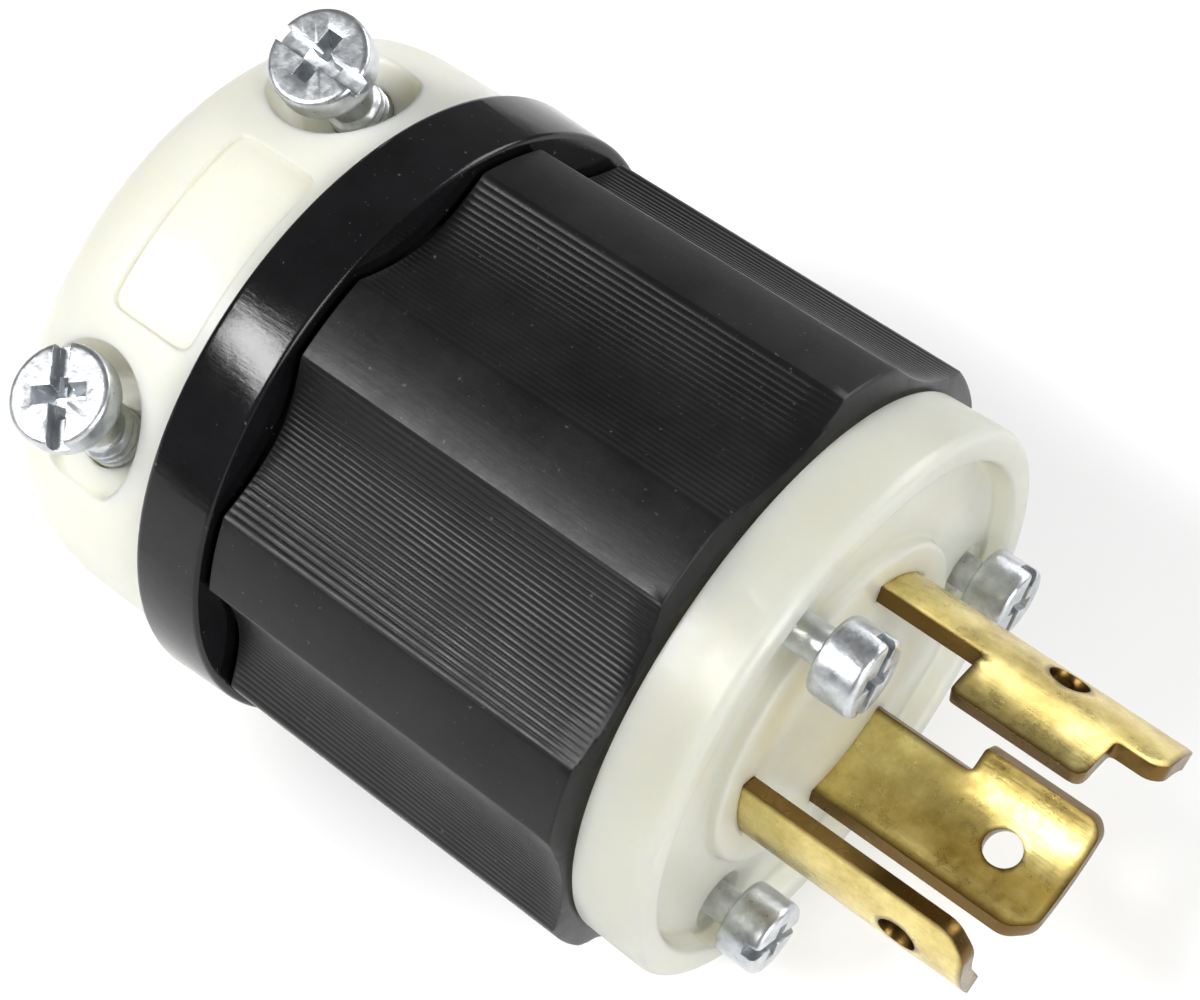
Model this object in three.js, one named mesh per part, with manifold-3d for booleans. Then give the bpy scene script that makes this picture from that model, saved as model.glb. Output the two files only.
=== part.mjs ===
// A three-blade locking plug for a 20 A cord: white nylon face with brass blades, black fluted housing,
// and a white two-part cord clamp. It lies on its side with the blades pointing along +X and a flute of the
// housing underneath. The origin is the centre of the mating face. Millimetres, +Z up.
import * as THREE from "three";
import { mergeVertices } from "three/addons/utils/BufferGeometryUtils.js";
import Module from "manifold-3d";

const wasm = await Module();
wasm.setup();

// ---------------------------------------------------------------- driving dimensions

const GAP = 0.3; // between pieces that touch
const BIG = 80; // reach of a tool that cuts right through

// Angles are in degrees from the clamp screws' direction, positive towards the plug's left-hand side (+Y).
const BODY_ROLL = 22.5; // half a grip pitch, so that two ridges stand on the table
const FACE_TURN = 3.5; // from the clamp screws to the first face screw

// Blades: arcs on the 3/4 inch circle of the 20 A locking pattern
const BLADE_CIRCLE_R = 19.05 / 2;
const BLADE_THICKNESS = 1.2;
const BLADE_LENGTH = 17.2;
const BLADE_TAIL = 25; // how far a blade reaches behind the mating face
const HOOK_START = 7.7;
const GROUND_SHOULDER = 17.4; // end of the ground blade's hook, where its longer nose goes on
const GROUND_LENGTH = 20.8;
const BLADE_HOLE_R = 1.4;
const BLADE_HOLE_X = 12.35;
const TIP_CHAMFER = 1.5;
const HOOK_CHAMFER = 0.25; // at the hook's rear corner

// Each blade: the stem's two edges, how far its hook reaches past the lower edge, and where its hole is
const BLADES = [
  { name: "blade_ground", from: 41, to: 81, hook: 22.5, hole: 61, length: GROUND_LENGTH },
  { name: "blade_line_a", from: 161.5, to: 209.5, hook: 13, hole: 181, length: BLADE_LENGTH },
  { name: "blade_line_b", from: 268, to: 304.7, hook: 18, hole: 281, length: BLADE_LENGTH },
];

// Front body
const FACE_R = 20.9;
const FACE_FILLET = 0.5;
const RIM_CREST = 0.65; // rim's crest ahead of the mating face
const RIM_INNER_R = 18.6;
const FLOOR_DEPTH = 0.9; // the ring-shaped floor lies behind the mating face
const ISLAND_R = 12.2; // raised centre that the blades come out of
const FRONT_WALL_BACK = 5.6;
const SHOULDER_X = -4.7; // where the face's shoulder meets the housing
const SKIRT_BACK = 12;
const SKIRT_R = 19.0;
const SKIRT_WALL = 1.5;

// Housing: a barrel with eight smooth grip ridges and eight flutes, and a flange behind it
const RIDGE_COUNT = 8;
const RIDGE_R = 22.6;
const RIDGE_HALF_ANGLE = 7.6;
const FLUTE_DEPTH_FRONT = 1.5;
const FLUTE_DEPTH_REAR = 2.4;
const FLUTE_STEPS = 8; // outline points across one flute
const HOUSING_FRONT = SHOULDER_X - GAP;
const HOUSING_BEVEL = { length: 0.6, drop: 1.6 }; // from the ridges down to the face's shoulder
const BARREL_BACK = -34.6;
const FLANGE_BACK = -40.2;
const FLANGE_R = 23.4;
const FLANGE_CHAMFER = 0.5;
const FLANGE_TAPER = 0.2; // the flange is this much smaller at its front
const BORE_R = SKIRT_R + GAP;
const REAR_WALL_FRONT = -31;
const WIRE_WINDOW_R = 11.8;

// Insulator: the rear part of the interior, which holds the blades' tails
const INSULATOR_R = 15.2;
const INSULATOR_FRONT = -FRONT_WALL_BACK - GAP;
const INSULATOR_BACK = -26;
const TERMINAL_X = -19;
const TERMINAL_TIP_R = 3.2; // bottom of the hole that a terminal screw's tip goes down
const TERMINAL_POCKET = { front: -13, back: -27.5, halfWidth: 4.8 };

// Terminals
const WIRE_SPACE = 3.0; // between a blade's tail and its pressure plate when the terminal is open
const PLATE = { size: 7.6, thickness: 1.0 };

// Screws: head and thread sizes of number 6 and number 8 machine screws. The cone is the bevel under the
// head, and the neck is the plain part of the shaft.
const FACE_SCREW = {
  headR: 2.75,
  headHeight: 3.2,
  cone: 0.2,
  shankR: 1.3,
  threadR: 1.75,
  neck: 14,
  length: 38,
};
const FACE_SCREW_CIRCLE_R = 16.1;
const SCREW_CHANNEL_R = 3.4; // behind the front wall, round each face screw and its washer
const FACE_SCREW_OUT = [3.4, 1.5, 1.8]; // how far each head stands off its seat
const CLAMP_SCREW = {
  headR: 3.7,
  headHeight: 3.0,
  cone: 0.9,
  shankR: 1.5,
  threadR: 2.05,
  neck: 3.2,
  length: 27,
};
const TERMINAL_SCREW = {
  headR: 3.0,
  headHeight: 2.0,
  cone: 0.2,
  shankR: 1.6,
  threadR: 1.6,
  neck: 3,
  length: 7.6,
};
const SLOT = { width: 0.9, depth: 1.1 };
const CROSS_RECESS = { span: 2.9, width: 0.9, depth: 1.7 };
const THREAD_CLEARANCE = 0.15;
const HEAD_CLEARANCE = 0.25;

// Captive washers and nuts
const RETAINER = { thickness: 0.8, grip: 0.12 };
const FACE_RETAINER_R = 2.6;
const CLAMP_RETAINER_R = 3.2;
const RETAINER_REACH = 8.6; // from under a face screw's head to its retaining washer
const FACE_NUT = { acrossFlats: 6.35, thickness: 2.4, turn: 30, front: -33.6 };
const CLAMP_NUT = { acrossFlats: 7.9, thickness: 3.0, turn: 0, top: -3.4 };

// Cord clamp
const CLAMP_R = 22.2;
const CLAMP_FRONT = FLANGE_BACK - GAP;
const CLAMP_BACK = -53.9;
const CLAMP_FILLET = 2.4;
const CORD_R = 8.5; // bore between the two jaws
const GROOVE_DEPTH = 0.9; // between the gripping ribs
const RIB_WIDTH = 1.6;
const RIB_COUNT = 3;
const FUNNEL = { radius: 11.4, length: 2.6 };
const CLAMP_SCREW_X = -46.9;
const CLAMP_SCREW_OFFSET = 13.6;
const SHELF_HEIGHT = 13.2; // seat of a clamp screw's head
const SCREW_POCKET_R = 4.5;
const CLAMP_SCREW_OUT = 5.7;
const CLAMP_RETAINER_HEIGHT = 7.2; // top of a clamp screw's washer
const PANEL = { front: -41.6, back: -48.6, halfWidth: 7.2, depth: 0.35, corner: 1.2 };
const SPIGOT = { length: 3.0, wall: 1.6 };

// Facets round a full circle
const ROUND_BODY = 64;
const ROUND_SCREW = 20;
const ROUND_HOLE = 16;

// ---------------------------------------------------------------- materials

function material(color, roughness, metalness) {
  return () => new THREE.MeshStandardMaterial({ color, roughness, metalness });
}

const WHITE_NYLON = material(0xe6e5d3, 0.38, 0);
const BLACK_NYLON = material(0x17181a, 0.32, 0);
const BRASS = material(0xb9933f, 0.3, 1);
const ZINC = material(0xa9adb1, 0.32, 1);
const STEEL = material(0x8c9094, 0.45, 1);
const FIBRE = material(0x8a2f22, 0.8, 0);

// ---------------------------------------------------------------- solids and booleans

// A closed geometry as a manifold-3d solid
function solidOf(geometry) {
  const loose = geometry.index ? geometry.toNonIndexed() : geometry.clone();
  loose.deleteAttribute("normal");
  loose.deleteAttribute("uv");
  const merged = mergeVertices(loose, 1e-4);
  return new wasm.Manifold(
    new wasm.Mesh({
      numProp: 3,
      vertProperties: merged.attributes.position.array,
      triVerts: new Uint32Array(merged.index.array),
    }),
  );
}

// A manifold-3d solid as a geometry that a mesh can show
function geometryOf(solid) {
  const mesh = solid.getMesh();
  const geometry = new THREE.BufferGeometry();
  geometry.setAttribute("position", new THREE.BufferAttribute(new Float32Array(mesh.vertProperties), 3));
  geometry.setIndex(new THREE.BufferAttribute(new Uint32Array(mesh.triVerts), 1));
  const faceted = geometry.toNonIndexed();
  faceted.computeVertexNormals();
  return faceted;
}

function cut(base, ...tools) {
  return tools.reduce((rest, tool) => rest.subtract(tool), base);
}

function join(first, ...others) {
  return others.reduce((sum, other) => sum.add(other), first);
}

// ---------------------------------------------------------------- basic shapes

const AXIS_X = new THREE.Vector3(1, 0, 0);
const AXIS_Y = new THREE.Vector3(0, 1, 0);
const AXIS_Z = new THREE.Vector3(0, 0, 1);
const DRAWN_ACROSS_X = new THREE.Matrix4().makeBasis(AXIS_Y, AXIS_Z, AXIS_X);

const radians = THREE.MathUtils.degToRad;

// A point of a cross-section, given by its radius and its angle from the top
function polar(radius, angle) {
  return new THREE.Vector2(radius * Math.sin(radians(angle)), radius * Math.cos(radians(angle)));
}

// A cross-section drawn in Y and Z, drawn out along X from one station to another
function prism(shape, from, to) {
  const depth = to - from;
  const options = { depth, bevelEnabled: false, curveSegments: ROUND_HOLE };
  const geometry = new THREE.ExtrudeGeometry(shape, options);
  return geometry.applyMatrix4(DRAWN_ACROSS_X).translate(from, 0, 0);
}

// A solid of revolution round X. The profile is [x, radius] pairs, forwards along the outside.
function turned(profile, segments = ROUND_BODY) {
  const points = profile.map(([x, radius]) => new THREE.Vector2(radius, x));
  return new THREE.LatheGeometry(points, segments).rotateZ(-Math.PI / 2);
}

function rod(from, to, radius, segments = ROUND_HOLE) {
  return turned([[from, 0], [from, radius], [to, radius], [to, 0]], segments);
}

function tube(from, to, inner, outer, segments = ROUND_BODY) {
  return turned([[from, inner], [from, outer], [to, outer], [to, inner], [from, inner]], segments);
}

function block(from, to) {
  const size = to.map((value, axis) => value - from[axis]);
  const centre = to.map((value, axis) => (value + from[axis]) / 2);
  return new THREE.BoxGeometry(...size).translate(...centre);
}

// An annular sector from one angle to another, as a cross-section
function sector(inner, outer, from, to) {
  const steps = Math.ceil((to - from) / 5);
  const angles = Array.from({ length: steps + 1 }, (_, i) => from + ((to - from) * i) / steps);
  const outside = angles.map((angle) => polar(outer, angle));
  const inside = angles.reverse().map((angle) => polar(inner, angle));
  return new THREE.Shape([...outside, ...inside]);
}

// A hexagonal prism along X, with a corner at the top unless it is turned
function hexagon(acrossFlats, from, to, turn) {
  const corner = acrossFlats / Math.sqrt(3);
  const points = [0, 60, 120, 180, 240, 300].map((angle) => polar(corner, angle + turn));
  return prism(new THREE.Shape(points), from, to);
}

// Moves a geometry made at the top of the plug to an angle round X, at a radius
function around(geometry, angle, radius = 0) {
  return geometry.translate(0, 0, radius).rotateX(-radians(angle));
}

// ---------------------------------------------------------------- scene graph

const plug = new THREE.Group();
const body = new THREE.Group();
body.rotation.x = radians(BODY_ROLL);
plug.add(body);
const face = new THREE.Group();
face.rotation.x = -radians(FACE_TURN);
body.add(face);

function place(parent, name, solid, makeMaterial) {
  const mesh = new THREE.Mesh(geometryOf(solid), makeMaterial());
  mesh.name = name;
  parent.add(mesh);
  return mesh;
}

// ---------------------------------------------------------------- screws, washers and nuts

// A machine screw along X: the head in front of x = 0, an undercut neck, then the thread
function screw({ headR, headHeight, cone, shankR, threadR, neck, length }) {
  const edge = 0.4;
  const shaft = turned(
    [
      [-length, 0],
      [-length, threadR - edge],
      [edge - length, threadR],
      [-neck, threadR],
      [-neck, shankR],
      [0, shankR],
      [0, headR - cone],
      [cone, headR],
      [headHeight - edge, headR],
      [headHeight, headR - edge],
      [headHeight, 0],
    ],
    ROUND_SCREW,
  );
  const top = headHeight + 1;
  const half = SLOT.width / 2;
  const slot = block([headHeight - SLOT.depth, -BIG, -half], [top, BIG, half]);
  const arm = CROSS_RECESS.span / 2;
  const armHalf = CROSS_RECESS.width / 2;
  const recess = block([headHeight - CROSS_RECESS.depth, -armHalf, -arm], [top, armHalf, arm]);
  return cut(solidOf(shaft), solidOf(slot), solidOf(recess));
}

// A fibre washer that grips a screw's shaft and travels with it; it starts at x = 0 and reaches back
function retainer(shaftR, outerR) {
  return solidOf(tube(-RETAINER.thickness, 0, shaftR + RETAINER.grip, outerR, ROUND_SCREW));
}

function nut({ acrossFlats, thickness, turn }, { threadR }) {
  const bore = rod(-thickness - 1, 1, threadR + THREAD_CLEARANCE);
  return cut(solidOf(hexagon(acrossFlats, -thickness, 0, turn)), solidOf(bore));
}

// ---------------------------------------------------------------- front body

const SCREW_ANGLES = [0, 120, 240];
const blades = BLADES.map((blade) => ({ ...blade, middle: (blade.from + blade.to) / 2 }));

// The arc-shaped slots that a row of blades needs, cut from one station to another
function bladeSlots(from, to) {
  const inner = BLADE_CIRCLE_R - BLADE_THICKNESS / 2 - GAP / 2;
  const outer = BLADE_CIRCLE_R + BLADE_THICKNESS / 2 + GAP / 2;
  const side = THREE.MathUtils.radToDeg(GAP / BLADE_CIRCLE_R);
  return blades.map((blade) =>
    solidOf(prism(sector(inner, outer, blade.from - side, blade.to + side), from, to)),
  );
}

function makeFrontBody() {
  const filletSteps = [0, 30, 60, 90];
  const fillet = filletSteps.map((angle) => [
    RIM_CREST - FACE_FILLET + FACE_FILLET * Math.sin(radians(angle)),
    FACE_R - FACE_FILLET + FACE_FILLET * Math.cos(radians(angle)),
  ]);
  const shell = turned([
    [-FRONT_WALL_BACK, 0],
    [-FRONT_WALL_BACK, SKIRT_R - SKIRT_WALL],
    [-SKIRT_BACK, SKIRT_R - SKIRT_WALL],
    [-SKIRT_BACK, SKIRT_R],
    [SHOULDER_X, SKIRT_R],
    [SHOULDER_X, FACE_R],
    ...fillet,
    [RIM_CREST, RIM_INNER_R + GAP],
    [RIM_CREST - GAP, RIM_INNER_R],
    [-FLOOR_DEPTH, RIM_INNER_R],
    [-FLOOR_DEPTH, ISLAND_R],
    [0, ISLAND_R - GAP],
    [0, 0],
  ]);
  const holes = SCREW_ANGLES.map((angle) =>
    solidOf(around(rod(-BIG, BIG, FACE_SCREW.threadR + THREAD_CLEARANCE), angle, FACE_SCREW_CIRCLE_R)),
  );
  const channels = SCREW_ANGLES.map((angle) =>
    solidOf(around(rod(-BIG, -FRONT_WALL_BACK, SCREW_CHANNEL_R), angle, FACE_SCREW_CIRCLE_R)),
  );
  const seats = SCREW_ANGLES.map((angle) => {
    const seat = rod(-FLOOR_DEPTH, BIG, FACE_SCREW.headR + HEAD_CLEARANCE, ROUND_SCREW);
    return solidOf(around(seat, angle, FACE_SCREW_CIRCLE_R));
  });
  return cut(solidOf(shell), ...holes, ...channels, ...seats, ...bladeSlots(-BIG, BIG));
}

place(face, "front_body", makeFrontBody(), WHITE_NYLON);

// ---------------------------------------------------------------- blades

// The blade's outline seen from outside: X along the plug, Y across the blade
function bladeOutline(blade) {
  const across = (angle) => BLADE_CIRCLE_R * Math.sin(radians(angle - blade.middle));
  const low = across(blade.from);
  const high = across(blade.to);
  const hook = across(blade.from - blade.hook);
  const back = -BLADE_TAIL;
  const isGround = blade.length > BLADE_LENGTH;
  const hookEnd = isGround ? GROUND_SHOULDER : blade.length;
  const corner = TIP_CHAMFER / 2;
  const points = [[back, low], [HOOK_START, low], [HOOK_START + HOOK_CHAMFER, hook]];
  points.push([hookEnd - corner, hook]);
  if (isGround) {
    points.push([hookEnd, hook + corner], [hookEnd, low], [blade.length - TIP_CHAMFER, low]);
  }
  points.push([blade.length, (isGround ? low : hook) + corner], [blade.length, high - TIP_CHAMFER]);
  points.push([blade.length - TIP_CHAMFER, high], [back, high]);
  const outline = new THREE.Shape(points.map(([x, y]) => new THREE.Vector2(x, y)));
  const circle = (x, y, radius) => new THREE.Path().absarc(x, y, radius, 0, 2 * Math.PI);
  outline.holes.push(circle(BLADE_HOLE_X, across(blade.hole), BLADE_HOLE_R));
  outline.holes.push(circle(TERMINAL_X, 0, TERMINAL_SCREW.threadR + THREAD_CLEARANCE));
  return outline;
}

// A blade is a strip of a brass tube: the tube's wall inside a prism of the blade's outline
function makeBlade(blade) {
  const inner = BLADE_CIRCLE_R - BLADE_THICKNESS / 2;
  const outer = BLADE_CIRCLE_R + BLADE_THICKNESS / 2;
  const low = blade.from - blade.hook - 5;
  const wall = prism(sector(inner, outer, low, blade.to + 5), -BLADE_TAIL - 1, GROUND_LENGTH + 1);
  const depth = BLADE_CIRCLE_R;
  const outline = new THREE.ExtrudeGeometry(bladeOutline(blade), {
    depth,
    bevelEnabled: false,
    curveSegments: ROUND_HOLE / 2,
  });
  around(outline.translate(0, 0, outer + 1 - depth), blade.middle);
  return solidOf(wall).intersect(solidOf(outline));
}

for (const blade of blades) {
  place(face, blade.name, makeBlade(blade), BRASS);
}

// ---------------------------------------------------------------- insulator

function makeInsulator() {
  const barrel = rod(INSULATOR_BACK, INSULATOR_FRONT, INSULATOR_R, ROUND_BODY);
  const channels = SCREW_ANGLES.map((angle) =>
    solidOf(around(rod(-BIG, BIG, SCREW_CHANNEL_R), angle, FACE_SCREW_CIRCLE_R)),
  );
  const floor = BLADE_CIRCLE_R - BLADE_THICKNESS / 2 - GAP;
  const { front, back, halfWidth } = TERMINAL_POCKET;
  const pockets = blades.map(({ middle }) =>
    solidOf(around(block([back, -halfWidth, floor], [front, halfWidth, BIG]), middle)),
  );
  const tipHoles = blades.map(({ middle }) => {
    const hole = rod(TERMINAL_TIP_R, floor + 1, TERMINAL_SCREW.threadR + GAP).rotateY(-Math.PI / 2);
    return solidOf(around(hole.translate(TERMINAL_X, 0, 0), middle));
  });
  return cut(solidOf(barrel), ...channels, ...bladeSlots(-BIG, BIG), ...pockets, ...tipHoles);
}

place(face, "interior_insulator", makeInsulator(), WHITE_NYLON);

// ---------------------------------------------------------------- terminals

const PLATE_RADIUS = BLADE_CIRCLE_R + BLADE_THICKNESS / 2 + WIRE_SPACE; // under side of an open plate

function makePressurePlate() {
  const half = PLATE.size / 2;
  const slab = block([-half, -half, 0], [half, half, PLATE.thickness]);
  const hole = rod(-1, 2, TERMINAL_SCREW.shankR + THREAD_CLEARANCE).rotateY(-Math.PI / 2);
  return cut(solidOf(slab), solidOf(hole));
}

blades.forEach(({ middle }, index) => {
  const terminal = new THREE.Group();
  terminal.rotation.x = -radians(middle);
  face.add(terminal);
  const plate = place(terminal, `pressure_plate_${index + 1}`, makePressurePlate(), STEEL);
  plate.position.set(TERMINAL_X, 0, PLATE_RADIUS);
  const terminalScrew = place(terminal, `terminal_screw_${index + 1}`, screw(TERMINAL_SCREW), ZINC);
  terminalScrew.rotation.y = -Math.PI / 2;
  terminalScrew.position.set(TERMINAL_X, 0, PLATE_RADIUS + PLATE.thickness + THREAD_CLEARANCE);
});

// ---------------------------------------------------------------- face screws

SCREW_ANGLES.forEach((angle, index) => {
  const number = index + 1;
  const line = new THREE.Group();
  line.rotation.x = -radians(angle);
  face.add(line);
  const seat = -FLOOR_DEPTH + FACE_SCREW_OUT[index];
  const faceScrew = place(line, `face_screw_${number}`, screw(FACE_SCREW), ZINC);
  faceScrew.position.set(seat, 0, FACE_SCREW_CIRCLE_R);
  const ring = retainer(FACE_SCREW.shankR, FACE_RETAINER_R);
  const washer = place(line, `face_screw_retainer_${number}`, ring, FIBRE);
  washer.position.set(seat - RETAINER_REACH, 0, FACE_SCREW_CIRCLE_R);
  const faceNut = place(line, `face_screw_nut_${number}`, nut(FACE_NUT, FACE_SCREW), STEEL);
  faceNut.position.set(FACE_NUT.front, 0, FACE_SCREW_CIRCLE_R);
});

// ---------------------------------------------------------------- housing

// Radius of the fluted barrel at an angle and a station along X
function barrelRadius(angle, x) {
  const pitch = 360 / RIDGE_COUNT;
  const fromRidge = Math.abs(angle - pitch * Math.round(angle / pitch));
  if (fromRidge <= RIDGE_HALF_ANGLE) {
    return RIDGE_R;
  }
  const across = (fromRidge - RIDGE_HALF_ANGLE) / (pitch / 2 - RIDGE_HALF_ANGLE);
  const along = (HOUSING_FRONT - x) / (HOUSING_FRONT - BARREL_BACK);
  const depth = FLUTE_DEPTH_FRONT + (FLUTE_DEPTH_REAR - FLUTE_DEPTH_FRONT) * along;
  return RIDGE_R - depth * (2 * across - across * across);
}

// The barrel's outside: one outline drawn out along X, with each end set to its own flute depth
function makeBarrel() {
  const pitch = 360 / RIDGE_COUNT;
  const angles = [];
  for (let ridge = 0; ridge < RIDGE_COUNT; ridge += 1) {
    const middle = ridge * pitch;
    angles.push(middle - RIDGE_HALF_ANGLE, middle);
    for (let step = 0; step < FLUTE_STEPS; step += 1) {
      angles.push(middle + RIDGE_HALF_ANGLE + ((pitch - 2 * RIDGE_HALF_ANGLE) * step) / FLUTE_STEPS);
    }
  }
  const outline = new THREE.Shape(angles.map((angle) => polar(RIDGE_R, angle)));
  const geometry = prism(outline, BARREL_BACK - 1, HOUSING_FRONT);
  const position = geometry.attributes.position;
  for (let i = 0; i < position.count; i += 1) {
    const x = position.getX(i);
    const angle = THREE.MathUtils.radToDeg(Math.atan2(position.getY(i), position.getZ(i)));
    const point = polar(barrelRadius(angle, x), angle);
    position.setXYZ(i, x, point.x, point.y);
  }
  return solidOf(geometry);
}

function makeHousing() {
  const bevelled = turned([
    [BARREL_BACK - 2, 0],
    [BARREL_BACK - 2, RIDGE_R + 2],
    [HOUSING_FRONT - HOUSING_BEVEL.length, RIDGE_R + 2],
    [HOUSING_FRONT - HOUSING_BEVEL.length, RIDGE_R],
    [HOUSING_FRONT, RIDGE_R - HOUSING_BEVEL.drop],
    [HOUSING_FRONT, 0],
  ]);
  const flange = turned([
    [FLANGE_BACK, 0],
    [FLANGE_BACK, FLANGE_R - FLANGE_CHAMFER],
    [FLANGE_BACK + FLANGE_CHAMFER, FLANGE_R],
    [BARREL_BACK - FLANGE_CHAMFER, FLANGE_R - FLANGE_TAPER],
    [BARREL_BACK, FLANGE_R - FLANGE_TAPER - FLANGE_CHAMFER],
    [BARREL_BACK, 0],
  ]);
  const outside = join(makeBarrel().intersect(solidOf(bevelled)), solidOf(flange));
  const bore = rod(REAR_WALL_FRONT, BIG, BORE_R, ROUND_BODY);
  const window = rod(-BIG, BIG, WIRE_WINDOW_R, ROUND_BODY / 2);
  const screwHoles = SCREW_ANGLES.map((angle) =>
    solidOf(around(rod(-BIG, BIG, FACE_SCREW.threadR + GAP), angle + FACE_TURN, FACE_SCREW_CIRCLE_R)),
  );
  const nutPockets = SCREW_ANGLES.map((angle) => {
    const across = FACE_NUT.acrossFlats + GAP;
    const pocket = hexagon(across, -BIG, FACE_NUT.front + GAP, FACE_NUT.turn);
    return solidOf(around(pocket, angle + FACE_TURN, FACE_SCREW_CIRCLE_R));
  });
  return cut(outside, solidOf(bore), solidOf(window), ...screwHoles, ...nutPockets);
}

place(body, "housing", makeHousing(), BLACK_NYLON);

// ---------------------------------------------------------------- cord clamp

// Both jaws are one round shell, cut along the cord: profile with gripping ribs in the cord's bore
function makeClampShell() {
  const profile = [[CLAMP_BACK, CORD_R]];
  for (const angle of [90, 60, 30, 0]) {
    profile.push([
      CLAMP_BACK + CLAMP_FILLET - CLAMP_FILLET * Math.sin(radians(angle)),
      CLAMP_R - CLAMP_FILLET + CLAMP_FILLET * Math.cos(radians(angle)),
    ]);
  }
  profile.push([CLAMP_FRONT, CLAMP_R], [CLAMP_FRONT, FUNNEL.radius]);
  profile.push([CLAMP_FRONT - FUNNEL.length, CORD_R + GROOVE_DEPTH]);
  const grooved = CLAMP_FRONT - FUNNEL.length - CLAMP_BACK;
  const pitch = grooved / RIB_COUNT;
  for (let rib = 1; rib < RIB_COUNT; rib += 1) {
    const x = CLAMP_FRONT - FUNNEL.length - rib * pitch;
    profile.push([x + RIB_WIDTH, CORD_R + GROOVE_DEPTH], [x + RIB_WIDTH / 2, CORD_R]);
    profile.push([x, CORD_R + GROOVE_DEPTH]);
  }
  profile.push([CLAMP_BACK + RIB_WIDTH, CORD_R + GROOVE_DEPTH], [CLAMP_BACK, CORD_R]);
  return solidOf(turned(profile));
}

const CLAMP_SIDES = [1, -1];

// A geometry made along X, stood up along Z at one clamp screw
function atClampScrew(geometry, side) {
  return geometry.rotateY(-Math.PI / 2).translate(CLAMP_SCREW_X, side * CLAMP_SCREW_OFFSET, 0);
}

function makeClampCover() {
  const upper = block([-BIG, -BIG, GAP], [BIG, BIG, BIG]);
  const through = CLAMP_SIDES.map((side) =>
    solidOf(atClampScrew(rod(-BIG, BIG, CLAMP_SCREW.threadR + THREAD_CLEARANCE), side)),
  );
  const shelves = CLAMP_SIDES.map((side) =>
    solidOf(atClampScrew(rod(SHELF_HEIGHT, BIG, SCREW_POCKET_R, ROUND_SCREW), side)),
  );
  const washerPockets = CLAMP_SIDES.map((side) => {
    const ceiling = CLAMP_RETAINER_HEIGHT + GAP;
    return solidOf(atClampScrew(rod(-1, ceiling, CLAMP_RETAINER_R + GAP), side));
  });
  return cut(
    makeClampShell().intersect(solidOf(upper)),
    ...through,
    ...shelves,
    ...washerPockets,
    makeLabelPanel(),
  );
}

// The shallow blank panel between the screws: a rounded rectangle cut into the top of the cover
function makeLabelPanel() {
  const { front, back, halfWidth, depth, corner } = PANEL;
  const outline = new THREE.Shape();
  outline.moveTo(back + corner, -halfWidth);
  outline.lineTo(front - corner, -halfWidth);
  outline.absarc(front - corner, corner - halfWidth, corner, -Math.PI / 2, 0);
  outline.absarc(front - corner, halfWidth - corner, corner, 0, Math.PI / 2);
  outline.absarc(back + corner, halfWidth - corner, corner, Math.PI / 2, Math.PI);
  outline.absarc(back + corner, corner - halfWidth, corner, Math.PI, 1.5 * Math.PI);
  const column = new THREE.ExtrudeGeometry(outline, { depth: BIG, bevelEnabled: false, curveSegments: 3 });
  const outside = tube(back - 1, front + 1, CLAMP_R - depth, CLAMP_R + 1);
  return solidOf(column).intersect(solidOf(outside));
}

function makeClampBase() {
  const lower = block([-BIG, -BIG, -BIG], [BIG, BIG, -GAP]);
  const spigotR = WIRE_WINDOW_R - GAP;
  const inside = spigotR - SPIGOT.wall;
  const spigot = tube(CLAMP_FRONT - 1, CLAMP_FRONT + SPIGOT.length, inside, spigotR);
  const through = CLAMP_SIDES.map((side) =>
    solidOf(atClampScrew(rod(-BIG, BIG, CLAMP_SCREW.threadR + THREAD_CLEARANCE), side)),
  );
  const nutPockets = CLAMP_SIDES.map((side) => {
    const across = CLAMP_NUT.acrossFlats + GAP;
    return solidOf(atClampScrew(hexagon(across, -BIG, CLAMP_NUT.top + GAP, CLAMP_NUT.turn), side));
  });
  const jaw = join(makeClampShell(), solidOf(spigot)).intersect(solidOf(lower));
  return cut(jaw, ...through, ...nutPockets);
}

place(body, "clamp_cover", makeClampCover(), WHITE_NYLON);
place(body, "clamp_base", makeClampBase(), WHITE_NYLON);

CLAMP_SIDES.forEach((side, index) => {
  const number = index + 1;
  const line = new THREE.Group();
  line.position.set(CLAMP_SCREW_X, side * CLAMP_SCREW_OFFSET, 0);
  line.rotation.y = -Math.PI / 2;
  body.add(line);
  const clampScrew = place(line, `clamp_screw_${number}`, screw(CLAMP_SCREW), ZINC);
  clampScrew.position.x = SHELF_HEIGHT + CLAMP_SCREW_OUT;
  const ring = retainer(CLAMP_SCREW.threadR, CLAMP_RETAINER_R);
  const washer = place(line, `clamp_screw_retainer_${number}`, ring, FIBRE);
  washer.position.x = CLAMP_RETAINER_HEIGHT;
  const clampNut = place(line, `clamp_nut_${number}`, nut(CLAMP_NUT, CLAMP_SCREW), STEEL);
  clampNut.position.x = CLAMP_NUT.top;
});

export default plug;
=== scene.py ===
"""The looks of a three-blade locking cord plug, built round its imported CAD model."""
import math

import bmesh
import bpy
from mathutils import Matrix, Vector
from mathutils.geometry import delaunay_2d_cdt


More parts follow.
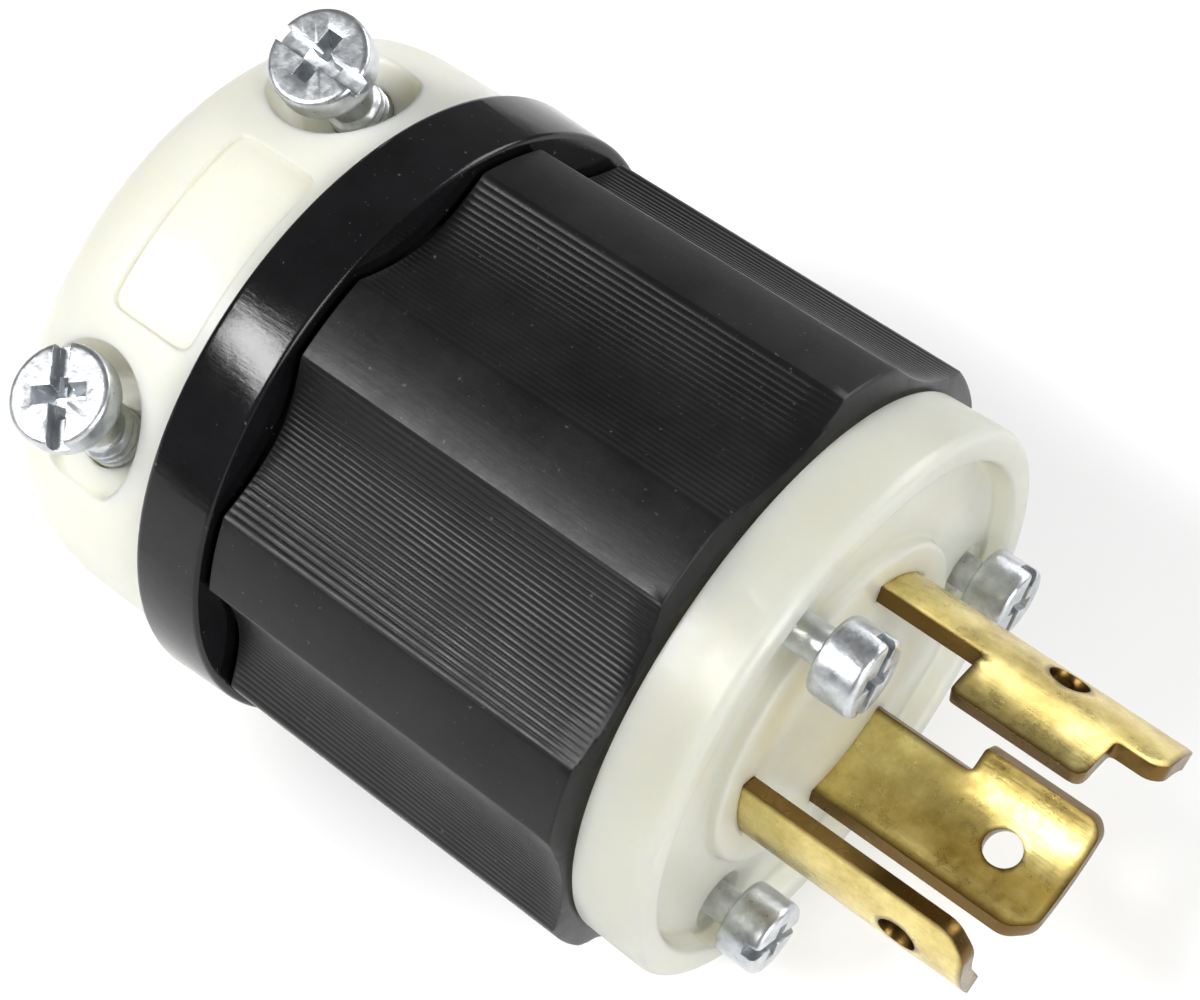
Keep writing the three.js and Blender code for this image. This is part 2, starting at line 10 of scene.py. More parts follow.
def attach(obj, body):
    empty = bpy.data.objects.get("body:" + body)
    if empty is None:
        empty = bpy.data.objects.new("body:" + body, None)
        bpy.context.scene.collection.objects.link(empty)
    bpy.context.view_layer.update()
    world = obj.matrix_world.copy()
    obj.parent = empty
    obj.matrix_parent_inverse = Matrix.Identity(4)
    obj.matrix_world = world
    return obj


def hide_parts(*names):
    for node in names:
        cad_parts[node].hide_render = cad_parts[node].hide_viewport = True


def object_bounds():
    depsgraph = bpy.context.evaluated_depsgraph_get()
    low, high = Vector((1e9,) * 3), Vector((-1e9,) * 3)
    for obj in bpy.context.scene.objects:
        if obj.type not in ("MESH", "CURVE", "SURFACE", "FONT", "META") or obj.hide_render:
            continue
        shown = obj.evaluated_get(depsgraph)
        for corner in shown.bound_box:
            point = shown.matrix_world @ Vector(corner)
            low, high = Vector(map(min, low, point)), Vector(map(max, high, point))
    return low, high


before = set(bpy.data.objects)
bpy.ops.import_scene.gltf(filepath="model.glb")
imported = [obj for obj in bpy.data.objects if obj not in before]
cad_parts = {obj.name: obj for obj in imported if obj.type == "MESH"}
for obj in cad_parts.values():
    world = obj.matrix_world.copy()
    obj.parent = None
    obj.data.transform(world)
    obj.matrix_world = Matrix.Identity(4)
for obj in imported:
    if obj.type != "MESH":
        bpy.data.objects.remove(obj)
CAD_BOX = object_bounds()

# ---------------------------------------------------------------- sizes, in millimetres as in the CAD

MM = 0.001
GAP = 0.3
FAR = 60  # reach of a cutter that goes right through
WIDE = 30  # half the width of a block that takes in all of the clamp
PITCH = 0.794  # of every screw's thread
THREAD_DEPTH = 0.62 * PITCH
THREAD_CLEARANCE = 0.15
HEAD_CLEARANCE = 0.2

# Turns of the two sets of pieces round the plug's axis, in degrees from straight up
BODY_TURN = 22.5
FACE_TURN = 19

# Front body
FACE_R = 20.9
RIM_CREST = 0.65
RIM_INNER_R = 18.6
FLOOR_X = -0.9
ISLAND_R = 12.2
WALL_BACK = -5.6
SHOULDER_X = -4.7
SKIRT_BACK = -12
SKIRT_R = 19.0
SKIRT_INNER_R = 17.5

# Blades
CIRCLE_R = 19.05 / 2
THICKNESS = 1.2
BLADE_INNER_R = CIRCLE_R - THICKNESS / 2
BLADE_OUTER_R = CIRCLE_R + THICKNESS / 2
TAIL_X = -25
HOOK_X = 7.7
TIP_X = 17.2
GROUND_TIP_X = 20.8
GROUND_SHOULDER_X = 17.4
HOLE_X = 12.35
HOLE_R = 1.4
TERMINAL_X = -19
TERMINAL_HOLE_R = 1.75
TIP_CHAMFER = 0.8
OUTER_CHAMFER = 1.5
# Angles of each blade's two edges and its hole, how far round the hook reaches, and where the tip is
BLADES = {
    "blade_ground": {"low": 41, "high": 81, "hook": 22.5, "hole": 61, "tip": GROUND_TIP_X},
    "blade_line_a": {"low": 161.5, "high": 209.5, "hook": 13, "hole": 181, "tip": TIP_X},
    "blade_line_b": {"low": 268, "high": 304.7, "hook": 18, "hole": 281, "tip": TIP_X},
}

# Housing
RIDGES = 8
RIDGE_R = 22.6
RIDGE_HALF = 7.6  # degrees
EDGE_WIDTH = 0.5  # degrees, of the soft edge along each ridge
EDGE_DROP = 0.06
FLUTE_FRONT = 1.5
FLUTE_REAR = 2.4
RIBS = 27  # in each flute
STEPS_PER_RIB = 5
RIB_HEIGHT = 0.055
BARREL_FRONT = -5.0
BARREL_REAR = -34.3
FRONT_R = 21.0  # where the barrel's bevelled front edge starts
# The bevel: how far behind the barrel's front it reaches each radius
FRONT_BEVEL = [(0.04, FRONT_R), (0.2, 21.6), (0.36, 22.2), (0.42, 22.4), (0.5, 22.53), (0.62, RIDGE_R)]
NECK_R = RIDGE_R - FLUTE_REAR - 0.4
FLANGE_FRONT = -34.8
FLANGE_BACK = -40.2
FLANGE_R = 23.4
FLANGE_TAPER = 0.25
BACK_FACE_R = 15  # a ring of points half-way down the flange's back
BORE_R = 19.3
REAR_WALL_X = -31
WINDOW_R = 11.8

# Screws: radius of the head, the neck and the thread, the head's height and the cone under it, and how far
# from the seat the neck and the whole screw end
FACE_SCREW = {
    "head": 2.75, "height": 3.2, "cone": 0.2, "neck": 1.3, "thread": 1.75, "neck_end": 14, "length": 38,
}
CLAMP_SCREW = {
    "head": 3.55, "height": 3.0, "cone": 0.9, "neck": 1.5, "thread": 2.05, "neck_end": 3.2, "length": 27,
}
SCREW_CIRCLE_R = 16.1
CHANNEL_R = 3.4
FACE_SCREW_OUT = [3.4, 1.5, 1.8]
FACE_NUT = {"flats": 6.35, "turn": 30, "thickness": 2.4, "top": -33.6}
CLAMP_NUT = {"flats": 7.9, "turn": 0, "thickness": 3.0, "top": -3.4}

# Cord clamp
CLAMP_R = 22.2
CLAMP_FRONT = -40.5
CLAMP_BACK = -53.9
CLAMP_TAPER = {"length": 3.2, "drop": 1.3}  # at the back, towards the cord
CORD_R = 8.5
MOUTH = {"radius": 11.4, "depth": 2.6}  # of the cord's bore, facing the housing
GRIP_RIBS = 3  # in the cord's bore, counting its back edge
GRIP_RIB_WIDTH = 1.6
GROOVE_DEPTH = 0.9
CLAMP_SCREW_X = -46.9
CLAMP_SCREW_SIDE = 13.6
SHELF_Z = 13.2
POCKET_R = 4.5
CLAMP_SCREW_OUT = 5.7
WASHER_POCKET_Z = 7.5
WASHER_POCKET_R = 3.5
PANEL = {"front": -41.6, "back": -48.6, "half": 7.4, "corner": 1.2, "depth": 0.35}


# ---------------------------------------------------------------- mesh code


def new_piece(name, points, faces, turn=0.0):
    """A mesh object from points in millimetres, turned round the plug's axis, with its faces out."""
    mesh = bpy.data.meshes.new(name)
    mesh.from_pydata([[MM * c for c in p] for p in points], [], faces)
    mesh.transform(Matrix.Rotation(math.radians(turn), 4, "X"))
    tidy = bmesh.new()
    tidy.from_mesh(mesh)
    bmesh.ops.remove_doubles(tidy, verts=tidy.verts, dist=1e-7)
    bmesh.ops.recalc_face_normals(tidy, faces=tidy.faces)
    tidy.to_mesh(mesh)
    tidy.free()
    piece = bpy.data.objects.new(name, mesh)
    bpy.context.scene.collection.objects.link(piece)
    return piece


def apply_modifiers(piece):
    """Bakes the piece's modifiers into its mesh."""
    depsgraph = bpy.context.evaluated_depsgraph_get()
    mesh = bpy.data.meshes.new_from_object(piece.evaluated_get(depsgraph))
    piece.modifiers.clear()
    piece.data = mesh


def carve(piece, cutters, operation="DIFFERENCE"):
    """Cuts the cutters out of the piece and removes them."""
    for cutter in cutters:
        modifier = piece.modifiers.new("cut", "BOOLEAN")
        modifier.operation = operation
        modifier.solver = "EXACT"
        modifier.object = cutter
    apply_modifiers(piece)
    for cutter in cutters:
        bpy.data.objects.remove(cutter)
    return piece


def bevel(piece, width, segments, angle):
    """Bevels the edges that are sharper than the angle, in degrees."""
    modifier = piece.modifiers.new("bevel", "BEVEL")
    modifier.width = width * MM
    modifier.segments = segments
    modifier.limit_method = "ANGLE"
    modifier.angle_limit = math.radians(angle)
    apply_modifiers(piece)


def smooth(piece, angle=32):
    """Smooth shading that keeps sharp edges sharp and large flat faces flat."""
    piece.data.shade_smooth()
    piece.data.set_sharp_from_angle(angle=math.radians(angle))
    modifier = piece.modifiers.new("normals", "WEIGHTED_NORMAL")
    modifier.keep_sharp = True
    apply_modifiers(piece)


def rounded(corners, steps=5, closed=False):
    """A 2-D line with rounded corners. Each corner is (u, v, how far back the rounding starts)."""
    line = []
    count = len(corners)
    for i, (u, v, reach) in enumerate(corners):
        corner = Vector((u, v))
        is_end = not closed and i in (0, count - 1)
        if reach == 0 or is_end:
            line.append(corner)
            continue
        before = Vector(corners[i - 1][:2]) - corner
        after = Vector(corners[(i + 1) % count][:2]) - corner
        start = corner + before.normalized() * min(reach, before.length * 0.49)
        end = corner + after.normalized() * min(reach, after.length * 0.49)
        for k in range(steps + 1):
            t = k / steps
            line.append(start * (1 - t) ** 2 + corner * 2 * t * (1 - t) + end * t * t)
    return line


def ring_surface(name, rings, turn=0.0, closed=False):
    """A surface through rings of points that go the same way round. A ring of one point closes an end."""
    points = []
    starts = []
    for ring in rings:
        starts.append(range(len(points), len(points) + len(ring)))
        points.extend(ring)
    around = max(len(ring) for ring in rings)
    pairs = list(zip(starts, starts[1:]))
    if closed:
        pairs.append((starts[-1], starts[0]))
    faces = []
    for a, b in pairs:
        for i in range(around):
            j = (i + 1) % around
            quad = [a[i % len(a)], a[j % len(a)], b[j % len(b)], b[i % len(b)]]
            face = list(dict.fromkeys(quad))
            if len(face) > 2:
                faces.append(face)
    return new_piece(name, points, faces, turn)


def circle_points(x, radius, segments):
    """A ring of points round X, or the one point on the axis if the radius is 0."""
    if radius == 0:
        return [(x, 0, 0)]
    angles = [2 * math.pi * i / segments for i in range(segments)]
    return [(x, radius * math.sin(a), radius * math.cos(a)) for a in angles]


def lathe(name, profile, segments=160, turn=0.0):
    """A solid of revolution round X from (x, radius) points: from axis to axis, or a closed loop."""
    rings = [circle_points(x, radius, segments) for x, radius in profile]
    return ring_surface(name, rings, turn, closed=profile[0][1] > 0)


def rod(low, high, radius):
    """A round cutter along X."""
    return lathe("cutter", [(low, 0), (low, radius), (high, radius), (high, 0)], 40)


def block(low, high):
    """A box-shaped cutter between two opposite corners."""
    spans = list(zip(low, high))
    points = [(x, y, z) for x in spans[0] for y in spans[1] for z in spans[2]]
    faces = [(0, 1, 3, 2), (4, 6, 7, 5), (0, 4, 5, 1), (2, 3, 7, 6), (0, 2, 6, 4), (1, 5, 7, 3)]
    return new_piece("cutter", points, faces)


def move(piece, *matrices):
    """Applies the matrices to the piece's mesh, first to last; lengths are in millimetres."""
    for matrix in matrices:
        matrix = matrix.copy()
        matrix.translation *= MM
        piece.data.transform(matrix)
    return piece


def shift(x, y, z):
    """A matrix that moves by millimetres."""
    return Matrix.Translation((x, y, z))


def turned(angle, axis="X"):
    """A matrix that turns by degrees."""
    return Matrix.Rotation(math.radians(angle), 4, axis)


def is_inside(point, loop):
    """Whether a 2-D point is inside a closed loop."""
    inside = False
    for i, a in enumerate(loop):
        b = loop[i - 1]
        if (a.y > point.y) != (b.y > point.y):
            if point.x < (b.x - a.x) * (point.y - a.y) / (b.y - a.y) + a.x:
                inside = not inside
    return inside


def spread(loop, spacing):
    """The loop with extra points, so that no step is longer than the spacing."""
    points = []
    for i, a in enumerate(loop):
        b = loop[(i + 1) % len(loop)]
        steps = max(1, math.ceil((b - a).length / spacing))
        points += [a.lerp(b, k / steps) for k in range(steps)]
    return points


def curved_plate(name, outline, holes, inner, outer, middle, turn, spacing=0.6):
    """A plate bent round the plug's axis, from a triangulated flat sheet. Its outline and holes are loops
    of (x, arc length from the middle angle), the arc measured half-way through the thickness."""
    mid_radius = (inner + outer) / 2
    loops = [spread(loop, spacing) for loop in [outline, *holes]]
    flat = []
    edges = []
    for loop in loops:
        first = len(flat)
        flat += loop
        edges += [(first + i, first + (i + 1) % len(loop)) for i in range(len(loop))]
    low_x = min(p.x for p in outline)
    low_y = min(p.y for p in outline)
    columns = int((max(p.x for p in outline) - low_x) / spacing)
    rows = int((max(p.y for p in outline) - low_y) / spacing)
    for column in range(1, columns):
        for row in range(1, rows):
            point = Vector((low_x + column * spacing, low_y + row * spacing))
            clear = min((point - p).length for loop in loops for p in loop) > spacing * 0.6
            if clear and is_inside(point, outline) and not any(is_inside(point, h) for h in holes):
                flat.append(point)
    flat, _, triangles = delaunay_2d_cdt(flat, edges, [], 1, 1e-5)[:3]
    kept = []
    for triangle in triangles:
        centre = sum((flat[i] for i in triangle), Vector((0, 0))) / 3
        if is_inside(centre, outline) and not any(is_inside(centre, h) for h in holes):
            kept.append(triangle)
    points = []
    for radius in (inner, outer):
        for p in flat:
            angle = math.radians(middle) + p.y / mid_radius
            points.append((p.x, radius * math.sin(angle), radius * math.cos(angle)))
    count = len(flat)
    faces = [list(t) for t in kept] + [[i + count for i in reversed(t)] for t in kept]
    used = {}  # how many triangles share each side: the sheet's rim has the sides used once
    for t in kept:
        for a, b in zip(t, [*t[1:], t[0]]):
            used[frozenset((a, b))] = used.get(frozenset((a, b)), 0) + 1
    for pair, times in used.items():
        if times == 1:
            a, b = tuple(pair)
            faces.append([a, b, b + count, a + count])
    return new_piece(name, points, faces, turn)


def round_hole(x, y, radius):
    """A circle as a 2-D loop."""
    steps = 28
    angles = [2 * math.pi * i / steps for i in range(steps)]
    return [Vector((x + radius * math.cos(a), y + radius * math.sin(a))) for a in angles]


# ---------------------------------------------------------------- materials


def link(tree, source, target):
    tree.links.new(source, target)


def node(tree, kind, **values):
    """A shader node; each value goes to the input of that name, or else to the node's property."""
    made = tree.nodes.new(kind)
    for key, value in values.items():
        socket_name = key.replace("_", " ").title()
        if socket_name in made.inputs:
            made.inputs[socket_name].default_value = value
        else:
            setattr(made, key, value)
    return made


def noise(tree, scale, detail=4.0, roughness=0.6, stretch=None):
    """Noise in the object's own metres; stretch scales the three directions."""
    coordinates = tree.nodes.new("ShaderNodeTexCoord")
    texture = node(tree, "ShaderNodeTexNoise", scale=scale, detail=detail, roughness=roughness)
    source = coordinates.outputs["Object"]
    if stretch:
        mapping = tree.nodes.new("ShaderNodeMapping")
        mapping.inputs["Scale"].default_value = stretch
        link(tree, source, mapping.inputs["Vector"])
        source = mapping.outputs["Vector"]
    link(tree, source, texture.inputs["Vector"])
    return texture.outputs["Fac"]


def ramp(tree, value, stops):
    """A colour ramp; stops are (position, colour or grey)."""
    made = tree.nodes.new("ShaderNodeValToRGB")
    elements = made.color_ramp.elements
    while len(elements) < len(stops):
        elements.new(0.5)
    for element, (position, colour) in zip(elements, stops):
        element.position = position
        if isinstance(colour, (int, float)):
            colour = (colour, colour, colour)
        element.color = (*colour, 1)
    link(tree, value, made.inputs["Fac"])
    return made.outputs["Color"]


def mix(tree, amount, low, high):
    """Mixes two colours, each a socket or a constant."""
    made = tree.nodes.new("ShaderNodeMix")
    made.data_type = "RGBA"
    factor, colour_a, colour_b = made.inputs[0], made.inputs[6], made.inputs[7]
    for socket, value in ((factor, amount), (colour_a, low), (colour_b, high)):
        if isinstance(value, bpy.types.NodeSocket):
            link(tree, value, socket)
        elif isinstance(value, tuple):
            socket.default_value = (*value, 1)
        else:
            socket.default_value = value
    return made.outputs[2]


def bumped(tree, shader, heights, edge=0.0):
    """Bump from (height socket, distance in millimetres) pairs over softly rounded edges."""
    normal = None
    if edge:
        soft = node(tree, "ShaderNodeBevel", samples=4)
        soft.inputs["Radius"].default_value = edge * MM
        normal = soft.outputs["Normal"]
    for height, distance in heights:
        made = tree.nodes.new("ShaderNodeBump")
        made.inputs["Distance"].default_value = distance * MM
        link(tree, height, made.inputs["Height"])
        if normal:
            link(tree, normal, made.inputs["Normal"])
        normal = made.outputs["Normal"]
    link(tree, normal, shader.inputs["Normal"])


def new_material(name, **sockets):
    """A Principled material, its node tree and its shader."""
    material = bpy.data.materials.new(name)
    material.use_nodes = True
    shader = material.node_tree.nodes["Principled BSDF"]
    for key, value in sockets.items():
        shader.inputs[key.replace("_", " ")].default_value = value
    return material, material.node_tree, shader


def painted_brass_see_through(tree, strength):
    """How much painted brass colour the nylon gets, standing in for the blades seen through it: full on
    the blades' circle, none a little way off.
    """
    full = 0.6 * MM
    none = 2.6 * MM
    coordinates = tree.nodes.new("ShaderNodeTexCoord")
    flat = node(tree, "ShaderNodeVectorMath", operation="MULTIPLY")
    flat.inputs[1].default_value = (0, 1, 1)
    link(tree, coordinates.outputs["Object"], flat.inputs[0])
    radius = node(tree, "ShaderNodeVectorMath", operation="LENGTH")
    link(tree, flat.outputs["Vector"], radius.inputs[0])
    off = node(tree, "ShaderNodeMath", operation="SUBTRACT")
    off.inputs[1].default_value = CIRCLE_R * MM
    link(tree, radius.outputs["Value"], off.inputs[0])
    distance = node(tree, "ShaderNodeMath", operation="ABSOLUTE")
    link(tree, off.outputs["Value"], distance.inputs[0])
    fade = tree.nodes.new("ShaderNodeMapRange")
    for socket, value in (("From Min", full), ("From Max", none), ("To Min", strength), ("To Max", 0)):
        fade.inputs[socket].default_value = value
    link(tree, distance.outputs["Value"], fade.inputs["Value"])
    return fade.outputs["Result"]


def nylon_white(name, tint, stain, clear, painted_brass_amount=0.0):
    """Natural nylon: milky and translucent, with faint flow clouds and fine scratches, and optionally a
    painted tint of the brass blades seen through it.
    """
    material, tree, shader = new_material(
        name,
        Subsurface_Weight=0.8,
        Subsurface_Radius=(1.0, 0.9, 0.62),
        Subsurface_Scale=2.5 * MM,
        Transmission_Weight=clear,
        IOR=1.45,
    )
    clouds = ramp(tree, noise(tree, 90, 2), [(0.3, tint), (0.75, stain)])
    # a painted brass tint round the blades' circle stands in for the blades seen through the nylon
    if painted_brass_amount:
        clouds = mix(tree, painted_brass_see_through(tree, painted_brass_amount), clouds, (0.74, 0.66, 0.42))
    link(tree, clouds, shader.inputs["Base Color"])
    rough = ramp(tree, noise(tree, 300, 3), [(0.3, 0.3), (0.7, 0.42)])
    link(tree, rough, shader.inputs["Roughness"])
    scratches = noise(tree, 260, 3, 0.6, (1, 7, 4))
    bumped(tree, shader, [(noise(tree, 160, 2), 0.05), (scratches, 0.006)], edge=0.35)
    return material


def nylon_black(gloss):
    """Moulded black nylon: a satin barrel and a polished flange, with dust and handling marks."""
    material, tree, shader = new_material("nylon_black", IOR=1.5, Specular_IOR_Level=0.26)
    base = ramp(tree, noise(tree, 180, 5), [(0.3, (0.003, 0.003, 0.0035)), (0.75, (0.008, 0.008, 0.009))])
    dust = ramp(tree, noise(tree, 2600, 2, 0.4), [(0.72, 0.0), (0.8, 1.0)])
    link(tree, mix(tree, dust, base, (0.06, 0.06, 0.06)), shader.inputs["Base Color"])
    satin = ramp(tree, noise(tree, 260, 6, 0.7), [(0.3, gloss), (0.72, gloss + 0.16)])
    polished = ramp(tree, noise(tree, 400, 4), [(0.3, 0.1), (0.75, 0.16)])
    split = tree.nodes.new("ShaderNodeSeparateXYZ")
    link(tree, tree.nodes.new("ShaderNodeTexCoord").outputs["Object"], split.inputs["Vector"])
    on_barrel = node(tree, "ShaderNodeMath", operation="GREATER_THAN")
    on_barrel.inputs[1].default_value = (FLANGE_FRONT + 0.1) * MM  # just in front of the flange
    link(tree, split.outputs["X"], on_barrel.inputs[0])
    link(tree, mix(tree, on_barrel.outputs["Value"], polished, satin), shader.inputs["Roughness"])
    scratches = noise(tree, 200, 7, 0.75, (1, 14, 14))
    bumped(tree, shader, [(noise(tree, 900, 4), 0.012), (scratches, 0.008)], edge=0.12)
    return material


def brass():
    """Stamped brass: bright rolled faces with brown tarnish clouds, darker sheared edges."""
    material, tree, shader = new_material("brass_stamped", Metallic=1.0)
    clouds = noise(tree, 210, 7, 0.68)
    face = ramp(
        tree,
        clouds,
        [
            (0.3, (0.36, 0.27, 0.09)),
            (0.44, (0.56, 0.44, 0.15)),
            (0.58, (0.72, 0.6, 0.24)),
            (0.8, (0.84, 0.73, 0.36)),
        ],
    )
    edge = tree.nodes.new("ShaderNodeAttribute")
    edge.attribute_name = "edge"
    rim = ramp(tree, edge.outputs["Fac"], [(0.35, 0.0), (0.95, 1.0)])
    link(tree, mix(tree, rim, face, (0.14, 0.085, 0.025)), shader.inputs["Base Color"])
    rough = ramp(tree, noise(tree, 500, 6, 0.7), [(0.3, 0.2), (0.7, 0.42)])
    link(tree, rough, shader.inputs["Roughness"])
    rolled = noise(tree, 300, 6, 0.7, (1, 16, 16))
    bumped(tree, shader, [(noise(tree, 500, 2), 0.014), (rolled, 0.014)])
    return material


def zinc(name, dark, bright, roughness):
    """Zinc plating: bluish, with small crystalline patches and a fine grain."""
    material, tree, shader = new_material(name, Metallic=1.0)
    patches = ramp(tree, noise(tree, 900, 5, 0.65), [(0.3, dark), (0.68, bright)])
    link(tree, patches, shader.inputs["Base Color"])
    rough = ramp(tree, noise(tree, 1400, 4), [(0.3, roughness), (0.7, roughness + 0.18)])
    link(tree, rough, shader.inputs["Roughness"])
    bumped(tree, shader, [(noise(tree, 1100, 5), 0.035)], edge=0.08)
    return material


def dull(name, dark, bright, roughness, grain):
    """A plain matt material with a grain, for the pieces inside."""
    material, tree, shader = new_material(name, Roughness=roughness)
    base = ramp(tree, noise(tree, grain, 5), [(0.3, dark), (0.7, bright)])
    link(tree, base, shader.inputs["Base Color"])
    bumped(tree, shader, [(noise(tree, grain * 2, 4), 0.04)])
    return material


FACE_NYLON = nylon_white("nylon_face", (0.9, 0.91, 0.83), (0.87, 0.87, 0.77), 0.6, 0.55)
CLAMP_NYLON = nylon_white("nylon_clamp", (0.92, 0.92, 0.83), (0.9, 0.89, 0.77), 0.3)
BLACK_NYLON = nylon_black(0.3)
BRASS = brass()
ZINC = zinc("zinc_bright", (0.42, 0.44, 0.46), (0.66, 0.68, 0.7), 0.26)
STEEL = zinc("steel_plain", (0.3, 0.31, 0.32), (0.55, 0.56, 0.57), 0.35)
FIBRE = dull("fibre_red", (0.2, 0.035, 0.02), (0.34, 0.07, 0.04), 0.8, 1500)


def finish_piece(piece, body, material, replaced, angle=32):
    """Gives a piece its looks and puts it on its body in place of the CAD's nodes."""
    piece.data.materials.clear()
    piece.data.materials.append(material)
    smooth(piece, angle)
    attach(piece, body)
    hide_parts(*replaced)


# ---------------------------------------------------------------- screws and nuts


def recess_cutters(top, head):
    """The slot and the tapering cross recess of a combination head, in proportion to its radius."""
    slot_depth = 1.05
    slot_half = 0.17 * head
    cross_depth = 1.9
    cross_reach = 0.3 * head
    cross_half = 0.1 * head
    cutters = [block((top - slot_depth, -head - 1, -slot_half), (top + 1, head + 1, slot_half))]
    for angle in (0, 90):
        arm = block((top - cross_depth, -cross_reach, -cross_half), (top + 0.5, cross_reach, cross_half))
        for vertex in arm.data.vertices:
            if vertex.co.x > top * MM:
                vertex.co.y *= 2
                vertex.co.z *= 2
        cutters.append(move(arm, turned(angle)))
    return cutters


def make_screw(name, size, matrices):
    """A screw along X with its head's seat at x = 0, in its own turning thread."""
    segments = 40
    steps_per_turn = 6
    top = size["height"]
    head = rounded([
        (-0.6, size["neck"], 0), (0, size["neck"], 0.15), (0, size["head"] - size["cone"], 0.15),
        (size["cone"], size["head"], 0.4), (top, size["head"], 0.45), (top, 0, 0),
    ], steps=4)
    rings = [[(-size["length"], 0, 0)]]
    core = size["thread"] - THREAD_DEPTH
    threaded = size["length"] - size["neck_end"]
    steps = round(threaded / PITCH * steps_per_turn)
    for step in range(steps + 1):
        x = -size["length"] + threaded * step / steps
        fade = min(1, step / 8, (steps - step) / 5)  # the thread runs out at both ends
        ring = []
        for i in range(segments):
            phase = (x / PITCH + i / segments) % 1
            crest = min(1, 1.25 * (1 - abs(2 * phase - 1)))
            radius = core + (size["thread"] - core) * crest * fade
            angle = 2 * math.pi * i / segments
            ring.append((x, radius * math.sin(angle), radius * math.cos(angle)))
        rings.append(ring)
    rings += [circle_points(x, radius, segments) for x, radius in head]
    screw = ring_surface(name, rings)
    carve(screw, recess_cutters(top, size["head"]))
    bevel(screw, 0.05, 2, 40)
    return move(screw, *matrices)


def hexagon(name, flats, turn, low, high):
    """A hexagonal bar along X."""
    corner = flats / math.sqrt(3)
    angles = [math.radians(turn + 60 * i) for i in range(6)]
    rings = [[(x, corner * math.sin(a), corner * math.cos(a)) for a in angles] for x in (low, high)]
    return ring_surface(name, [[(low, 0, 0)], *rings, [(high, 0, 0)]])


def make_nut(name, size, thread, matrices):
    """A chamfered hexagon nut along X with its top at x = 0."""
    thickness = size["thickness"]
    nut = hexagon(name, size["flats"], size["turn"], -thickness, 0)
    chamfer = 0.35
    corner = size["flats"] / math.sqrt(3)
    face_r = corner - chamfer * 1.6
    crown_r = corner + 0.1
    crown = [(-thickness, 0), (-thickness, face_r), (-thickness + chamfer, crown_r)]
    crown += [(-chamfer, crown_r), (0, face_r), (0, 0)]
    carve(nut, [lathe("cutter", crown, 72)], "INTERSECT")
    carve(nut, [rod(-thickness - 1, 1, thread + THREAD_CLEARANCE)])
    bevel(nut, 0.06, 2, 25)
    return move(nut, *matrices)


def nut_pocket(nut):
    """A cutter for the pocket that a nut drops into, along the screw's own frame."""
    return hexagon("cutter", nut["flats"] + GAP, nut["turn"], -FAR, nut["top"] + GAP)


def face_line(angle, x):
    """From a face screw's own frame to the plug's."""
    return [shift(x, 0, SCREW_CIRCLE_R), turned(-angle), turned(FACE_TURN)]


def clamp_line(side, height):
    """From a clamp screw's own frame to the plug's."""
    across = shift(CLAMP_SCREW_X, side * CLAMP_SCREW_SIDE, 0)
    return [shift(height, 0, 0), turned(-90, "Y"), across, turned(BODY_TURN)]


SCREW_ANGLES = (0, 120, 240)
SLOT_TURNS = (38, -24, 12)  # how each head happens to stand
for index, angle in enumerate(SCREW_ANGLES):
    number = index + 1
    seat = FLOOR_X + FACE_SCREW_OUT[index]
    place = [turned(SLOT_TURNS[index])] + face_line(angle, seat)
    screw = make_screw(f"face_screw_{number}_piece", FACE_SCREW, place)
    finish_piece(screw, f"face_screw_{number}", ZINC, [f"face_screw_{number}"])
    place = face_line(angle, FACE_NUT["top"])
    nut = make_nut(f"face_screw_nut_{number}_piece", FACE_NUT, FACE_SCREW["thread"], place)
    finish_piece(nut, "plug_body", STEEL, [f"face_screw_nut_{number}"])

SIDES = (1, -1)
CLAMP_SLOT_TURNS = (-92, 37)
for index, side in enumerate(SIDES):
    number = index + 1
    place = [turned(CLAMP_SLOT_TURNS[index])] + clamp_line(side, SHELF_Z + CLAMP_SCREW_OUT)
    screw = make_screw(f"clamp_screw_{number}_piece", CLAMP_SCREW, place)
    finish_piece(screw, f"clamp_screw_{number}", ZINC, [f"clamp_screw_{number}"])
    place = clamp_line(side, CLAMP_NUT["top"])
    nut = make_nut(f"clamp_nut_{number}_piece", CLAMP_NUT, CLAMP_SCREW["thread"], place)
    finish_piece(nut, "plug_body", STEEL, [f"clamp_nut_{number}"])


# ---------------------------------------------------------------- blades


def blade_outline(blade):
    """A blade's middle angle, a function from angle to arc length, and its rounded outline."""
    middle = (blade["low"] + blade["high"]) / 2

    def along(angle):
        return math.radians(angle - middle) * CIRCLE_R

    low = along(blade["low"])
    high = along(blade["high"])
    hook = along(blade["low"] - blade["hook"])
    tip = blade["tip"]
    nose = hook
    corners = [(TAIL_X, low, 0.3), (HOOK_X, low, 0.4), (HOOK_X + 0.1, hook, 0.4)]
    if tip == GROUND_TIP_X:
        nose = low
        corners += [(GROUND_SHOULDER_X, hook, 0.9), (GROUND_SHOULDER_X, low, 0.4)]
    corners += [(tip - TIP_CHAMFER, nose, 0.5), (tip, nose + TIP_CHAMFER, 0.5)]
    corners += [(tip, high - OUTER_CHAMFER, 0.7), (tip - OUTER_CHAMFER, high, 0.7), (TAIL_X, high, 0.3)]
    return middle, along, rounded(corners, steps=4, closed=True)


def distance_to_loop(point, loop):
    """How far a 2-D point is from a closed loop."""
    best = math.inf
    for i, a in enumerate(loop):
        side = loop[i - 1] - a
        t = max(0, min(1, (point - a).dot(side) / max(side.length_squared, 1e-12)))
        best = min(best, (point - a - side * t).length)
    return best


